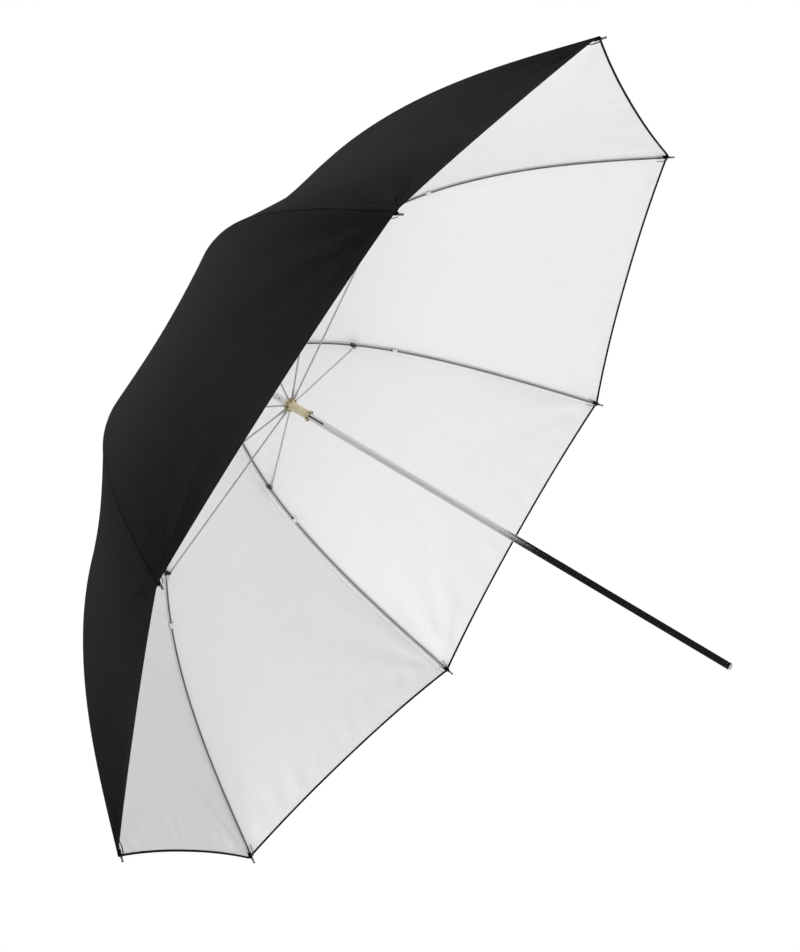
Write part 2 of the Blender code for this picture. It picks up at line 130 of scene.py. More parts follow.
def stray(number, distance):
    """How far points of rib number are moved from the even shape. Only the part beyond the stretcher strays."""
    azimuth = (number - 1) * RIB_STEP
    sway = np.array([-sin(azimuth), cos(azimuth), 0.0]) * TIP_SWAY_MM[(number - 1) % RIB_COUNT]
    lift = np.array([0.0, 0.0, 1.0]) * TIP_LIFT_MM[(number - 1) % RIB_COUNT]
    share = np.clip((distance - RIB_INNER_LENGTH) / (RIB_LENGTH - RIB_INNER_LENGTH), 0.0, None) ** 2
    return (sway + lift) * 0.001 * share[..., None]


def stray_mesh(mesh, number):
    """Moves a mesh made for rib number, at azimuth 0, by that rib's own stray."""
    count = len(mesh.vertices)
    points = np.empty(count * 3)
    mesh.vertices.foreach_get("co", points)
    points = points.reshape(-1, 3)
    distance = np.interp(points[:, 0], RIB_LINE[:, 0], RIB_STATIONS)
    distance += np.maximum(points[:, 0] - RIB_LINE[-1, 0], 0) / cos(RIB_END_SLOPE)
    turn = np.array(Matrix.Rotation(-(number - 1) * RIB_STEP, 3, "Z"))
    points += stray(number, distance) @ turn.T
    mesh.vertices.foreach_set("co", points.ravel())
    mesh.update()
    return mesh


def smooth(values, low, high):
    """0 below low, 1 above high, smooth between."""
    share = np.clip((values - low) / (high - low), 0.0, 1.0)
    return share * share * (3 - 2 * share)


NOTCH_PIVOT = Vector((RIB_HINGE_RADIUS, 0.0, NOTCH_HEIGHT))
RUNNER_PIVOT = Vector((RUNNER_HINGE_RADIUS, 0.0, RUNNER_HEIGHT))
CLIP_PIVOT, CLIP_SLOPE = rib_at(RIB_INNER_LENGTH, -PIVOT_DROP)

# -------- camera

CAMERA_PLACE = Vector((2.3011, 0.9650, -0.5451))
CAMERA_HEADING = radians(-157.12)
CAMERA_RISE = radians(18.50)
CAMERA_ROLL = radians(-59.16)
CAMERA_LENS = 89.907        # mm, on a 36 mm sensor


def make_camera():
    data = bpy.data.cameras.new("camera")
    data.sensor_fit = "AUTO"
    data.sensor_width = 36.0
    data.lens = CAMERA_LENS
    data.clip_start, data.clip_end = 0.05, 60.0
    made = bpy.data.objects.new("camera", data)
    bpy.context.collection.objects.link(made)
    ahead = Vector((cos(CAMERA_RISE) * cos(CAMERA_HEADING), cos(CAMERA_RISE) * sin(CAMERA_HEADING),
                    sin(CAMERA_RISE)))
    level = ahead.cross(Vector((0, 0, 1))).normalized()
    rise = level.cross(ahead)
    right = level * cos(CAMERA_ROLL) + rise * sin(CAMERA_ROLL)
    up = right.cross(ahead)
    made.matrix_world = Matrix.Translation(CAMERA_PLACE) @ Matrix((right, up, -ahead)).transposed().to_4x4()
    bpy.context.scene.camera = made


make_camera()


# -------- materials

class Nodes:
    """Short calls that add nodes to a tree and give their outputs."""

    def __init__(self, tree):
        self.tree = tree

    def node(self, kind, values=None, **settings):
        made = self.tree.nodes.new(kind)
        for key, value in settings.items():
            setattr(made, key, value)
        for key, value in (values or {}).items():
            if isinstance(value, bpy.types.NodeSocket):
                self.tree.links.new(value, made.inputs[key])
            else:
                made.inputs[key].default_value = value
        return made

    def math(self, operation, a, b=0.0, clamp=False):
        return self.node("ShaderNodeMath", {0: a, 1: b}, operation=operation, use_clamp=clamp).outputs[0]

    def place(self, name=None):
        """Where a point is: in the piece's own space, or as a named attribute says."""
        if name is None:
            return self.node("ShaderNodeTexCoord").outputs["Object"]
        return self.node("ShaderNodeAttribute", attribute_name=name).outputs["Vector"]

    def noise(self, place, scale, detail=3.0, roughness=0.5, stretch=(1, 1, 1)):
        moved = self.node("ShaderNodeMapping", {"Vector": place, "Scale": stretch}).outputs[0]
        found = self.node("ShaderNodeTexNoise", {"Vector": moved, "Scale": scale, "Detail": detail,
                                                 "Roughness": roughness})
        return found.outputs["Fac"]

    def ramp(self, factor, *stops):
        made = self.node("ShaderNodeValToRGB", {"Fac": factor})
        points = made.color_ramp.elements
        while len(points) < len(stops):
            points.new(0.5)
        for point, (where, color) in zip(points, stops):
            point.position = where
            point.color = (*color, 1.0)
        return made.outputs["Color"]

    def span(self, factor, low, high, first=0.0, second=1.0):
        """factor from low to high, taken to first to second."""
        return self.node("ShaderNodeMapRange", {"Value": factor, "From Min": low, "From Max": high,
                                                "To Min": first, "To Max": second}).outputs[0]

    def mix(self, factor, a, b, blend="MIX"):
        made = self.node("ShaderNodeMix", {"Factor": factor}, data_type="RGBA", blend_type=blend)
        for socket, value in ((made.inputs[6], a), (made.inputs[7], b)):
            if isinstance(value, bpy.types.NodeSocket):
                self.tree.links.new(value, socket)
            else:
                socket.default_value = (*value, 1.0)
        return made.outputs[2]


class Look(Nodes):
    """A material under construction: a Principled BSDF and what feeds it."""

    def __init__(self, name, color, roughness, metallic=0.0):
        self.material = bpy.data.materials.new(name)
        self.material.use_nodes = True
        super().__init__(self.material.node_tree)
        self.shader = self.tree.nodes["Principled BSDF"]
        self.set("Base Color", (*color, 1.0))
        self.set("Roughness", roughness)
        self.set("Metallic", metallic)

    def set(self, socket, value):
        self.shader.inputs[socket].default_value = value

    def use(self, socket, output):
        self.tree.links.new(output, self.shader.inputs[socket])

    def bump(self, height, distance, strength=1.0):
        """Adds a bump of this depth over whatever bump there is."""
        made = self.node("ShaderNodeBump", {"Height": height, "Distance": distance, "Strength": strength})
        before = self.shader.inputs["Normal"].links
        if before:
            self.tree.links.new(before[0].from_socket, made.inputs["Normal"])
        self.tree.links.new(made.outputs[0], self.shader.inputs["Normal"])


def brushed_metal(name, color, roughness, grain=(40, 40, 900), depth=0.00002):
    """Drawn or turned metal: fine grain, patches of handling, a slightly uneven gloss."""
    look = Look(name, color, roughness, 1.0)
    place = look.place()
    fine = look.noise(place, 6.0, 4.0, 0.6, grain)
    patch = look.noise(place, 60.0, 3.0, 0.55)
    darker = tuple(part * 0.80 for part in color)
    look.use("Base Color", look.mix(look.span(patch, 0.35, 0.70), color, darker))
    uneven = look.math("ADD", look.math("MULTIPLY", fine, 0.16), look.math("MULTIPLY", patch, 0.14))
    look.use("Roughness", look.math("ADD", uneven, roughness - 0.15, clamp=True))
    if depth:
        look.bump(fine, depth, 0.6)
    return look.material


def polished_metal(name, color, roughness):
    """Bright plating with faint long draw marks and a few duller patches where hands and clamps have been."""
    look = Look(name, color, roughness, 1.0)
    place = look.place()
    draw = look.noise(place, 4.0, 3.0, 0.6, (220, 220, 3))
    patch = look.noise(place, 14.0, 3.0, 0.55)
    darker = tuple(part * 0.90 for part in color)
    look.use("Base Color", look.mix(look.span(draw, 0.35, 0.70), color, darker))
    look.use("Roughness", look.span(patch, 0.35, 0.75, roughness, roughness + 0.05))
    return look.material


def moulded_plastic(name, color):
    look = Look(name, color, 0.42)
    look.set("Specular IOR Level", 0.45)
    place = look.place()
    grain = look.noise(place, 2600.0, 2.0)
    cloud = look.noise(place, 120.0, 2.0)
    lighter = tuple(part * 1.7 + 0.004 for part in color)
    look.use("Base Color", look.mix(look.span(cloud, 0.3, 0.8), color, lighter))
    look.use("Roughness", look.span(cloud, 0.2, 0.8, 0.36, 0.52))
    look.bump(grain, 0.00006, 0.5)
    return look.material


THREAD_PITCH = 0.00042      # between the cloth's threads
STITCH_PITCH = 0.0026
HEM_WIDTH = 0.0022
SEAM_WIDTH = 0.0042
STITCH_INSET = 0.0012       # from a seam's or hem's edge to its row of stitches
CREASE_PAINTED_SHADE = 0.88         # how much of the black cloth's colour the painted crease shade takes away


def woven(look, color, shade, depth):
    """Plain weave over the cloth's own measure: metres across, metres down and metres from the rim."""
    place = look.place("cloth")
    parts = look.node("ShaderNodeSeparateXYZ", {"Vector": place})
    across, down, from_rim = parts.outputs
    turns = 2 * pi / THREAD_PITCH
    warp = look.math("SINE", look.math("MULTIPLY", across, turns))
    weft = look.math("SINE", look.math("MULTIPLY", down, turns))
    weave = look.math("MULTIPLY", warp, weft)
    slub = look.noise(place, 18.0, 3.0, 0.6, (1.0, 7.0, 0.0))
    slub_down = look.noise(place, 18.0, 3.0, 0.6, (7.0, 1.0, 0.0))
    cloud = look.noise(place, 7.0, 4.0, 0.55)
    crumple = look.noise(place, 38.0, 4.0, 0.55, (1.0, 0.45, 0.0))
    uneven = look.math("MULTIPLY", look.math("ADD", slub, slub_down), 0.5)
    tone = look.math("ADD", look.math("MULTIPLY", uneven, 0.6), look.math("MULTIPLY", cloud, 0.4))
    plain = look.mix(look.span(tone, 0.32, 0.68), color, shade)

    def stitches(gap, run):
        """A row of stitches where the gap is nothing, dashed along the run."""
        row = look.span(look.math("ABSOLUTE", gap), 0.00020, 0.00042, 1.0, 0.0)
        dash = look.math("SINE", look.math("MULTIPLY", run, 2 * pi / STITCH_PITCH))
        return look.math("MULTIPLY", row, look.span(dash, -0.5, 0.0))

    hem = stitches(look.math("SUBTRACT", from_rim, HEM_WIDTH + STITCH_INSET), across)
    seam = stitches(look.math("SUBTRACT", look.math("ABSOLUTE", across), SEAM_WIDTH - STITCH_INSET), down)
    stitch = look.math("MAXIMUM", hem, seam)
    look.use("Base Color", look.mix(look.math("MULTIPLY", stitch, 0.35), plain, tuple(c * 0.55 for c in color)))
    look.bump(crumple, 0.0016, 0.45)
    look.bump(weave, depth, 0.35)
    look.bump(stitch, -0.00035, 0.5)
    return tone


def black_cloth():
    """The outer cloth, with painted shade: its colour is darkened in the crease along each rib, in the pulls
    that fan out from each rib tip and towards the tips.
    """
    look = Look("black_cloth", (0.008, 0.008, 0.008), 0.52)
    look.set("Specular IOR Level", 0.012)
    tone = woven(look, (0.0105, 0.0105, 0.0106), (0.0165, 0.0165, 0.0166), 0.00008)
    parts = look.node("ShaderNodeSeparateXYZ", {"Vector": look.place("cloth")})
    across, _, from_rim = parts.outputs
    reach = look.math("SQRT", look.math("ADD", look.math("MULTIPLY", across, across),
                                        look.math("MULTIPLY", from_rim, from_rim)))
    bearing = look.math("ARCTAN2", across, from_rim)
    fan = look.node("ShaderNodeCombineXYZ", {"X": look.math("MULTIPLY", bearing, 7.0),
                                             "Y": look.math("MULTIPLY", reach, 9.0)}).outputs[0]
    pull = look.noise(fan, 1.0, 2.0, 0.5)
    near_tip = look.math("MULTIPLY", look.span(reach, 0.004, 0.018), look.span(reach, 0.025, 0.150, 1.0, 0.0))
    # Painted shade: the pulls near each tip, the crease along each rib and the cloth towards each tip are
    # darkened in the colour, not by light.
    painted_pull_shade = look.math("MULTIPLY", look.span(pull, 0.36, 0.47, 1.0, 0.0), near_tip)
    painted_seam_shade = look.math("MULTIPLY", look.span(look.math("ABSOLUTE", across), 0.0007, 0.0024, 1.0, 0.0),
                           look.span(from_rim, 0.06, 0.40, 1.0, 0.45))
    painted_tip_shade = look.span(reach, 0.02, 0.24, 0.50, 0.0)
    shade = look.math("MAXIMUM", look.math("MAXIMUM", painted_pull_shade, painted_seam_shade), painted_tip_shade)
    cloth = look.shader.inputs["Base Color"].links[0].from_socket
    # The painted shade is mixed into the cloth's colour here; only the pulls also get a real bump.
    look.use("Base Color", look.mix(look.math("MULTIPLY", shade, CREASE_PAINTED_SHADE), cloth, (0.0, 0.0, 0.0)))
    look.bump(look.math("MULTIPLY", pull, near_tip), 0.006, 0.7)
    look.use("Roughness", look.span(tone, 0.3, 0.7, 0.46, 0.58))
    return look.material


def white_cloth():
    look = Look("white_cloth", (0.87, 0.87, 0.87), 0.72)
    look.set("Specular IOR Level", 0.30)
    look.set("Sheen Weight", 0.08)
    look.set("Sheen Roughness", 0.5)
    tone = woven(look, (0.855, 0.855, 0.855), (0.885, 0.885, 0.885), 0.00006)
    look.use("Roughness", look.span(tone, 0.3, 0.7, 0.66, 0.78))
    return look.material


def hem_cloth():
    look = Look("hem_cloth", (0.003, 0.003, 0.003), 0.7)
    look.set("Specular IOR Level", 0.06)
    woven(look, (0.0025, 0.0025, 0.0025), (0.0045, 0.0045, 0.0045), 0.00008)
    return look.material


def thread(name, color, sheen):
    """Twisted thread: a fine slanting rib over a soft colour."""
    look = Look(name, color, 0.7)
    look.set("Sheen Weight", sheen)
    place = look.place()
    twist = look.node("ShaderNodeTexWave", {"Vector": place, "Scale": 700.0, "Distortion": 1.5, "Detail": 2.0},
                      bands_direction="DIAGONAL").outputs["Fac"]
    fuzz = look.noise(place, 1800.0, 3.0)
    look.use("Base Color", look.mix(look.math("MULTIPLY", twist, fuzz), tuple(c * 0.8 for c in color), color))
    look.bump(twist, 0.00012, 0.8)
    return look.material


BLACK_CLOTH = black_cloth()
WHITE_CLOTH = white_cloth()
HEM_CLOTH = hem_cloth()
WHITE_THREAD = thread("white_thread", (0.95, 0.95, 0.94), 0.3)
RIB_METAL = brushed_metal("rib_metal", (0.27, 0.27, 0.275), 0.34)
# The same steel as rib_metal, lighter: a painted highlight down the floor of each rib's flute.
RIB_FLUTE_PAINTED_HIGHLIGHT = brushed_metal("rib_flute_painted_highlight", (0.48, 0.48, 0.485), 0.30)
WIRE_METAL = brushed_metal("wire_metal", (0.50, 0.50, 0.51), 0.28)
SHAFT_METAL = polished_metal("shaft_metal", (0.80, 0.80, 0.80), 0.10)
CHAMPAGNE = brushed_metal("champagne_metal", (0.80, 0.71, 0.50), 0.24, (30, 30, 1400), 0.000008)
CLIP_METAL = brushed_metal("clip_metal", (0.72, 0.72, 0.73), 0.26)
DARK_METAL = brushed_metal("dark_metal", (0.055, 0.054, 0.053), 0.42)
SPRING_METAL = brushed_metal("spring_metal", (0.07, 0.07, 0.075), 0.34)
# A darker copy of the champagne metal: painted shade on the collars' lobes.
GILT_PAINTED_SHADE = brushed_metal("champagne_painted_shade", (0.50, 0.42, 0.25), 0.22, (30, 30, 1400), 0.000008)
PLASTIC = moulded_plastic("black_plastic", (0.014, 0.014, 0.015))


# -------- mesh helpers

def shaded(mesh, angle=40.0):
    mesh.shade_smooth()
    mesh.set_sharp_from_angle(angle=radians(angle))
    return mesh


def finished(bm, name, angle=40.0):
    bmesh.ops.remove_doubles(bm, verts=bm.verts, dist=1e-7)
    bmesh.ops.recalc_face_normals(bm, faces=bm.faces)
    mesh = bpy.data.meshes.new(name)
    bm.to_mesh(mesh)
    bm.free()
    return shaded(mesh, angle)


def add_piece(name, mesh, look, azimuth=0.0):
    made = bpy.data.objects.new(name, mesh)
    bpy.context.collection.objects.link(made)
    made.rotation_euler = (0, 0, azimuth)
    if not mesh.materials:
        mesh.materials.append(look)
    return made


def turned(bm, profile, steps=48, frame_matrix=None):
    """A closed outline of (radius, height) points turned round Z, then moved by a matrix."""
    rings = []
    place = frame_matrix or Matrix.Identity(4)
    for radius, height in profile:
        if radius < 1e-8:
            rings.append([bm.verts.new(place @ Vector((0, 0, height)))])
            continue
        angles = [2 * pi * n / steps for n in range(steps)]
        rings.append([bm.verts.new(place @ Vector((radius * cos(a), radius * sin(a), height))) for a in angles])
    for low, high in zip(rings, rings[1:] + rings[:1]):
        for n in range(steps):
            m = (n + 1) % steps
            corners = [low[n % len(low)], low[m % len(low)], high[m % len(high)], high[n % len(high)]]
            corners = list(dict.fromkeys(corners))
            if len(corners) > 2:
                bm.faces.new(corners)


def swept(bm, points, radii, sides=16, flatten=1.0, closed=False):
    """A round section along a line of points, flattened sideways by a factor."""
    count = len(points)
    points = [Vector(point) for point in points]
    radii = [float(radius) for radius in radii] if hasattr(radii, "__len__") else [radii] * count
    along = []
    for n in range(count):
        before = points[(n - 1) % count] if closed else points[max(n - 1, 0)]
        after = points[(n + 1) % count] if closed else points[min(n + 1, count - 1)]
        along.append((after - before).normalized())
    side = along[0].orthogonal().normalized() if abs(along[0].y) > 0.99 else Vector((0, 1, 0))
    rings = []
    for point, way, radius in zip(points, along, radii):
        side = (side - way * side.dot(way)).normalized()
        over = way.cross(side)
        rings.append([bm.verts.new(point + radius * (cos(2 * pi * k / sides) * side * flatten
                                                     + sin(2 * pi * k / sides) * over)) for k in range(sides)])
    pairs = list(zip(rings, rings[1:]))
    if closed:
        pairs.append((rings[-1], rings[0]))
    for low, high in pairs:
        for k in range(sides):
            bm.faces.new([low[k], low[(k + 1) % sides], high[(k + 1) % sides], high[k]])
    if not closed:
        bm.faces.new(rings[0])
        bm.faces.new(rings[-1])


def arc(centre, radius, start, end, steps):
    """Points (a, b) round a centre, from one angle in degrees to another."""
    return [(centre[0] + radius * cos(radians(start + (end - start) * n / steps)),
             centre[1] + radius * sin(radians(start + (end - start) * n / steps))) for n in range(steps + 1)]


def plate(bm, outline, thickness, frame_matrix=None, bevel=0.0):
    """An outline of (x, z) points thickened along Y with its edges eased."""
    place = frame_matrix or Matrix.Identity(4)
    near = [bm.verts.new(place @ Vector((x, -thickness / 2, z))) for x, z in outline]
    far = [bm.verts.new(place @ Vector((x, thickness / 2, z))) for x, z in outline]
    faces = [bm.faces.new(near), bm.faces.new(far)]
    for n in range(len(outline)):
        m = (n + 1) % len(outline)
        faces.append(bm.faces.new([near[n], near[m], far[m], far[n]]))
    if bevel:
        edges = [edge for face in faces[:2] for edge in face.edges]
        bmesh.ops.bevel(bm, geom=edges, offset=bevel, segments=2, affect="EDGES", profile=0.6)


def slope_frame(point, slope):
    """The frame at a point of the rib: X along the rib outwards, Z away from the shaft side."""
    return Matrix.Translation(point) @ Matrix.Rotation(slope, 4, "Y")


# -------- canopy

ROWS = 140
WIDE_COLUMNS = 40
SEAM_STEPS = (0.0, 0.0006, 0.0014, 0.0026, 0.0036, 0.0040, 0.0045, 0.0055, 0.0080)
HEM_STEPS = (0.0100, 0.0060, HEM_WIDTH + 0.0004, HEM_WIDTH - 0.0003, HEM_WIDTH / 2, 0.0004, 0.0)
PLEAT_DEPTH = 0.0062
HEM_DEPTH = 0.00050
SWELL_DEPTH = 0.0007


def pleats_at_corner(seed):
    """Pleats from a corner into the gore: angle from the rib, depth, length and width at the corner."""
    draw = np.random.default_rng(seed)
    count = 8
    first, last = radians(22), radians(84)
    angles = first + (last - first) * (np.arange(count) + draw.uniform(0.15, 0.85, count)) / count
    depths = draw.uniform(0.3, 1.0, count) * np.where(draw.random(count) < 0.6, -1.0, 0.6)
    lengths = draw.uniform(0.045, 0.115, count)
    widths = draw.uniform(0.0035, 0.0060, count)
    return list(zip(angles, depths, lengths, widths))


def wrinkle(gore, along, sideways, half_width, from_rim):
    """How far one gore's cloth stands off its smooth surface. along is metres down the rib, sideways metres off
    the gore's middle, negative towards its first rib. The stitched rim itself stays smooth."""
    total = np.zeros_like(along)
    rim_gap = RIB_LENGTH - along
    for end, sign in ((0, 1.0), (1, -1.0)):
        out = RIM_RADIUS * sin(HALF_STEP) + sign * sideways
        reach = np.hypot(out, rim_gap) + 1e-6
        angle = np.arctan2(out, rim_gap)
        for bearing, depth, length, width in pleats_at_corner(100 + gore * 2 + end):
            off_line = reach * np.sin(angle - bearing) / (width + 0.085 * reach)
            fade = smooth(reach, 0.006, 0.050) * np.exp(-reach / length)
            total += PLEAT_DEPTH * depth * fade * np.exp(-(off_line ** 2)) * (np.abs(angle - bearing) < pi / 2)
    draw = np.random.default_rng(500 + gore)
    for _ in range(7):
        pitch, phase, size = draw.uniform(0.022, 0.055), draw.uniform(0, 2 * pi), draw.uniform(0.3, 1.0)
        drift = draw.uniform(-0.5, 0.5)
        wave = np.sin(2 * pi * (sideways + drift * rim_gap) / pitch + phase)
        total += HEM_DEPTH * size * wave * np.exp(-((rim_gap / 0.045) ** 2))
    for _ in range(3):
        pitch, phase = draw.uniform(0.16, 0.34), draw.uniform(0, 2 * pi)
        lean = draw.uniform(-0.6, 0.6)
        total += SWELL_DEPTH * np.sin(2 * pi * (along + lean * sideways) / pitch + phase)
    from_rib = half_width - np.abs(sideways)
    return total * smooth(from_rib, 0.0, 0.022) * smooth(along, 0.02, 0.10) * smooth(from_rim, -0.001, 0.022)


def half_gore(number, side):
    """Arrays of half a gore: outer points, inner points and the cloth's measure. Rows run from cap to rim and
    columns from the rib to the gore's middle."""
    first = number if side > 0 else number - 1
    gore = (first - 1) % RIB_COUNT
    cloth_length = RIB_LENGTH - CLOTH_TOP
    down = np.linspace(0, 1 - 0.0145 / cloth_length, ROWS + 1)
    down = np.concatenate([down, [1 - step / cloth_length for step in HEM_STEPS]])
    rough_radius, _, _ = rib_places(CLOTH_TOP + cloth_length * down, CLOTH_OFFSET)
    width = (rough_radius * sin(HALF_STEP))[:, None]
    steps = np.array(SEAM_STEPS)[None, :]
    narrow = np.minimum(steps / width, steps / SEAM_STEPS[-1] * 0.45)
    rest = np.linspace(0, 1, WIDE_COLUMNS + 1)[None, 1:]
    across = np.concatenate([narrow, narrow[:, -1:] + (1 - narrow[:, -1:]) * rest], axis=1)
    down = np.repeat(down[:, None], across.shape[1], axis=1)
    end = RIB_LENGTH - RIM_RISE * (1 - (1 - across) ** 2.2)
    along = CLOTH_TOP + (end - CLOTH_TOP) * down
    from_rim = end - along
    from_rib = across * width
    stand = wrinkle(gore, along, side * (across - 1) * width, width + 0 * across, from_rim)
    seam_dip = 0.0009 * (1 - smooth(from_rib, 0.0, 0.0026)) + 0.00030 * (1 - smooth(from_rib, 0.0035, 0.0046))
    hem_bulge = 0.00012 * (1 - smooth(from_rim, HEM_WIDTH - 0.0004, HEM_WIDTH + 0.0004))
    share = across / 2
    own = stray(number, along)
    next_one = stray((number - 1 + side) % RIB_COUNT + 1, along)
    moved = own * (1 - share[..., None]) + next_one * share[..., None]
    turn = np.array(Matrix.Rotation((number - 1) * RIB_STEP, 3, "Z"))
    layers = []
    for sign in (1, -1):
        seam = -seam_dip if sign > 0 else -0.0009 * (1 - smooth(from_rib, 0.0038, 0.0044))
        offset = CLOTH_OFFSET + sign * (CLOTH_THICKNESS / 2 + hem_bulge) + seam
        radius, height, slope = rib_places(along, offset)
        sag = 0.001 * GORE_SAG_MM[gore] * np.sin(pi / 2 * across) * np.minimum(1.0, radius / RIM_RADIUS) ** 0.7
        sag = sag * np.sin(pi * np.minimum(down, 0.999)) ** 0.5 - stand
        chord = radius * sin(HALF_STEP) * across
        x = radius - chord * sin(HALF_STEP) - sag * cos(HALF_STEP) * np.sin(slope)
        y = chord * cos(HALF_STEP) - sag * sin(HALF_STEP) * np.sin(slope)
        z = height - sag * np.cos(slope)
        layers.append(np.stack([x, side * y, z], axis=-1) @ turn.T + moved)
    measure = np.stack([side * from_rib, along, from_rim], axis=-1)
    return layers[0], layers[1], measure


def surface_area(points):
    """Area of a grid of points."""
    a = points[1:, :-1] - points[:-1, :-1]
    b = points[:-1, 1:] - points[:-1, :-1]
    c = points[1:, :-1] - points[1:, 1:]
    d = points[:-1, 1:] - points[1:, 1:]
    return float((np.linalg.norm(np.cross(a, b), axis=-1) + np.linalg.norm(np.cross(c, d), axis=-1)).sum() / 2)


def gore_piece(number, side):
    """One half of a gore: black outside, white inside, with the black cloth folded in round the rim."""
    outer, inner, measure = half_gore(number, side)
    rows, columns = outer.shape[:2]
    count = rows * columns
    vertices = np.concatenate([outer.reshape(-1, 3), inner.reshape(-1, 3)])
    measures = np.concatenate([measure.reshape(-1, 3)] * 2)
    faces, looks = [], []

    def at(layer, row, column):
        return layer * count + row * columns + column

    first_hem_row = rows - 5
    for row in range(rows - 1):
        for column in range(columns - 1):
            a, b = at(0, row, column), at(0, row, column + 1)
            c, d = at(0, row + 1, column + 1), at(0, row + 1, column)
            faces += [[a, b, c, d], [a + count, d + count, c + count, b + count]]
            looks += [0, 2 if row >= first_hem_row else 1]
    edge = [(row, 0) for row in range(rows - 1)]
    edge += [(rows - 1, column) for column in range(columns - 1)]
    edge += [(row, columns - 1) for row in range(rows - 1, 0, -1)]
    edge += [(0, column) for column in range(columns - 1, 0, -1)]
    for (a, b), (c, d) in zip(edge, edge[1:] + edge[:1]):
        faces.append([at(0, a, b), at(0, c, d), at(1, c, d), at(1, a, b)])
        looks.append(2)
    if side < 0:
        faces = [[face[0], face[3], face[2], face[1]] for face in faces]
    name = f"gore_{'left' if side > 0 else 'right'}_{number}"
    mesh = bpy.data.meshes.new(name)
    mesh.from_pydata(vertices.tolist(), [], faces)
    for look in (BLACK_CLOTH, WHITE_CLOTH, HEM_CLOTH):
        mesh.materials.append(look)
    mesh.polygons.foreach_set("material_index", np.array(looks, np.int32))
    place = mesh.attributes.new("cloth", "FLOAT_VECTOR", "POINT")
    place.data.foreach_set("vector", measures.astype(np.float32).ravel())
    mesh.update()
    shaded(mesh, 50.0)
    made = add_piece(name, mesh, BLACK_CLOTH, 0.0)
    area = surface_area((outer + inner) / 2)
    return made, area


def make_canopy():
    for number in range(1, RIB_COUNT + 1):
        for side, hand in ((1, "left"), (-1, "right")):
            piece, area = gore_piece(number, side)
            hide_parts(f"canopy_{hand}_{number}")
            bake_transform(piece)


make_canopy()


# -------- ribs

RIB_EYE_RADIUS = 0.0020
RIB_SLIM = 0.64             # the fluted rib against the round rod that stands for it in collisions
FLUTE_WALL = 0.00042
FLUTE_FLOOR = 0.0007        # the flute's floor above the rib's centre line
FLUTE_LIP = -0.0009         # the walls' edges below it
TIE_START = RIB_INNER_LENGTH + 0.061
CLIP_FRAME = slope_frame(rib_at(RIB_INNER_LENGTH)[0], CLIP_SLOPE)


def flute_section():
    """The rib's cross-section as (sideways, outwards) points: a U whose open side faces the shaft."""
    half = RIB_RADIUS
    crown = [(half * cos(a), FLUTE_FLOOR - 0.0002 + (half - FLUTE_FLOOR + 0.0002) * sin(a))
             for a in (k * pi / 10 for k in range(11))]
    inside = half - FLUTE_WALL
    floor = [(-inside, FLUTE_FLOOR - 0.0004), (-inside * 0.75, FLUTE_FLOOR), (inside * 0.75, FLUTE_FLOOR),
             (inside, FLUTE_FLOOR - 0.0004)]
    return crown + [(-half, FLUTE_LIP), (-inside, FLUTE_LIP)] + floor + [(inside, FLUTE_LIP), (half, FLUTE_LIP)]


def rib_mesh():
    """A fluted steel rib, closed up where it nears the notch and crimped where the clip grips it."""
    bm = bmesh.new()
    stops = np.concatenate([[0.0052, 0.0058, 0.0066, 0.0078], np.linspace(0.012, RIB_LENGTH, 90)])
    section = flute_section()
    flute_start = len(section) - 7
    rings = []
    for stop in stops:
        crimp = 0.10 * np.exp(-(((abs(stop - RIB_INNER_LENGTH) - 0.0062) / 0.0009) ** 2))
        width = RIB_SLIM * (1 - crimp) * (0.8 + 0.2 * float(smooth(np.array(stop), 0.0020, 0.0075)))
        point, slope = rib_at(stop)
        place = slope_frame(point, slope)
        rings.append([bm.verts.new(place @ Vector((0, width * y, width * z))) for y, z in section])
    for low, high in zip(rings, rings[1:]):
        for k in range(len(section)):
            m = (k + 1) % len(section)
            face = bm.faces.new([low[k], low[m], high[m], high[k]])
            # The flute's floor takes the lighter steel, a painted highlight.
            face.material_index = 1 if flute_start <= k < flute_start + 4 else 0
    bm.faces.new(rings[0])
    bm.faces.new(rings[-1])
    neck = slope_frame(NOTCH_PIVOT, RIB_START_SLOPE)
    eye = arc((0, 0), RIB_EYE_RADIUS, -35, -325, 20)
    outline = [(0.0030, -0.0011), *eye, (0.0030, 0.0011), (0.0068, 0.0013), (0.0068, -0.0013)]
    plate(bm, outline, 0.0016, neck, 0.0002)
    mesh = finished(bm, "rib", 45)
    mesh.materials.append(RIB_METAL)
    mesh.materials.append(RIB_FLUTE_PAINTED_HIGHLIGHT)
    return mesh


def tip_mesh():
    """The ferrule beyond the rib's end: a crimped sleeve, a neck and a bead with a small dark dimple."""
    point, slope = rib_at(RIB_LENGTH)
    way = Vector((cos(slope), 0, -sin(slope)))
    turn = Matrix.Translation(point) @ Vector((0, 0, 1)).rotation_difference(way).to_matrix().to_4x4()
    bm = bmesh.new()
    bead = arc((0.0, 0.0058), 0.00135, -52, 60, 12)
    profile = [(0, 0.0004), (0.0012, 0.0004), (0.0014, 0.0006), (0.0014, 0.0013), (0.00120, 0.0016),
               (0.00120, 0.0020), (0.0013, 0.0023), (0.0012, 0.0032), (0.0009, 0.0036), (0.0008, 0.0040),
               (0.0008, 0.0046), *bead, (0.0005, 0.00708), (0.0004, 0.0068), (0, 0.0067)]
    turned(bm, profile, 24, turn)
    return finished(bm, "tip", 40)


